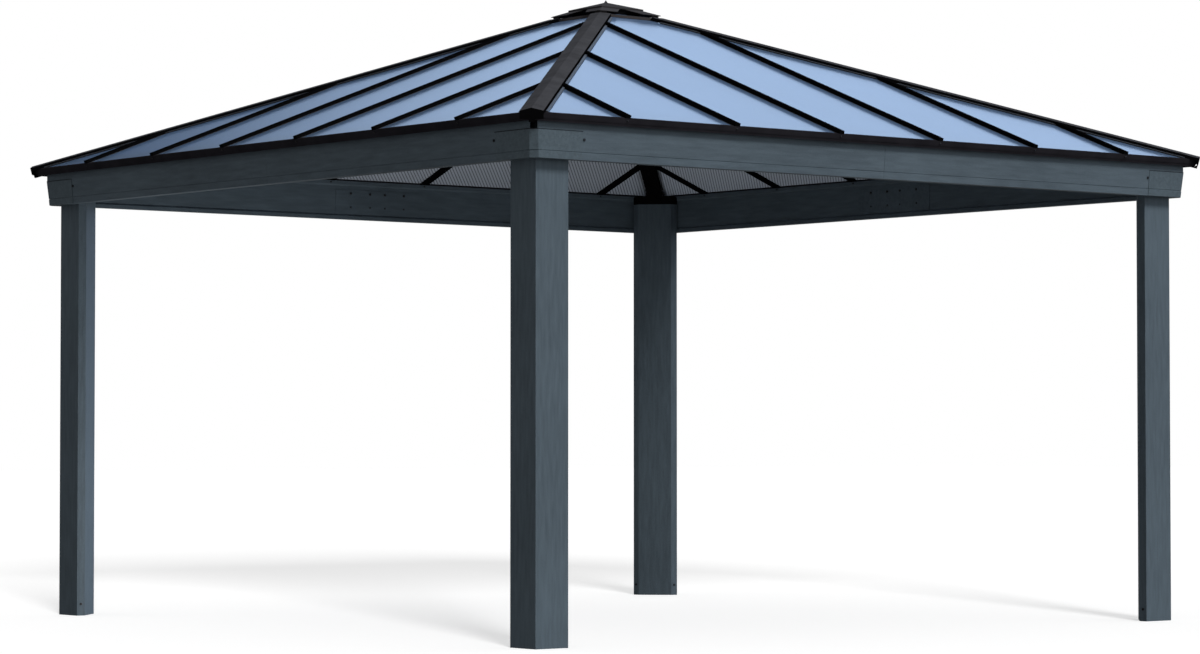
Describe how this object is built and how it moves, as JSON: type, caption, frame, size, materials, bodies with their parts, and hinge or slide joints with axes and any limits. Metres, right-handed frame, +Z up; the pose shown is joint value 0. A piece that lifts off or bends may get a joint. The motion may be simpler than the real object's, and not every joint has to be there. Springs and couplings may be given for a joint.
{
  "type": "square hip-roof garden gazebo",
  "caption": "Open-sided square shelter: chamfered hollow posts, ring beams with corner covers, and a glazed hip roof with a raised vent at its peak.",
  "frame": {"origin": "on the ground, under the roof's peak, at the centre of the four posts", "axes": "+Z up; -Y is the front side, +X the right side; the four sides are alike"},
  "size_m": [4.3248, 4.3248, 3.1587],
  "materials": {
    "post_steel": "fine-textured slate grey powder coat",
    "beam_steel": "fine-textured slate grey powder coat",
    "cover_steel": "fine-textured slate grey powder coat",
    "edge_trim": "satin brown-black coated aluminium",
    "hip_cap_sheet": "satin grey-brown coated sheet",
    "glazing_bar": "satin black coated aluminium",
    "black_steel": "satin black coated steel",
    "vent_sheet": "satin grey-brown coated sheet",
    "twin_wall_sheet": "translucent twin-wall polycarbonate with a fine diamond emboss underneath",
    "shoe_steel": "black coated steel",
    "bolt_steel": "black coated steel"
  },
  "bodies": {
    "root": {"post_front_left": "post_steel", "post_front_right": "post_steel", "post_back_right": "post_steel", "post_back_left": "post_steel", "post_shoes": "shoe_steel", "post_heads": "black_steel", "beam_front_left": "beam_steel", "beam_front_right": "beam_steel", "beam_right_front": "beam_steel", "beam_right_back": "beam_steel", "beam_back_right": "beam_steel", "beam_back_left": "beam_steel", "beam_left_back": "beam_steel", "beam_left_front": "beam_steel", "beam_splices": "beam_steel", "corner_cover_front_left": "cover_steel", "corner_cover_front_right": "cover_steel", "corner_cover_back_right": "cover_steel", "corner_cover_back_left": "cover_steel", "eave_trim_front": "edge_trim", "eave_trim_right": "edge_trim", "eave_trim_back": "edge_trim", "eave_trim_left": "edge_trim", "hip_rafter_front_left": "black_steel", "hip_rafter_front_right": "black_steel", "hip_rafter_back_right": "black_steel", "hip_rafter_back_left": "black_steel", "hip_cap_front_left": "hip_cap_sheet", "hip_cap_front_right": "hip_cap_sheet", "hip_cap_back_right": "hip_cap_sheet", "hip_cap_back_left": "hip_cap_sheet", "hip_end_pieces": "black_steel", "glazing_bars_front": "glazing_bar", "glazing_bars_right": "glazing_bar", "glazing_bars_back": "glazing_bar", "glazing_bars_left": "glazing_bar", "roof_sheets_front": "twin_wall_sheet", "roof_sheets_right": "twin_wall_sheet", "roof_sheets_back": "twin_wall_sheet", "roof_sheets_left": "twin_wall_sheet", "crown_ring": "black_steel", "vent_skirt": "vent_sheet", "vent_brackets": "vent_sheet", "vent_cover": "vent_sheet", "vent_bolt": "bolt_steel"}
  },
  "joints": []
}
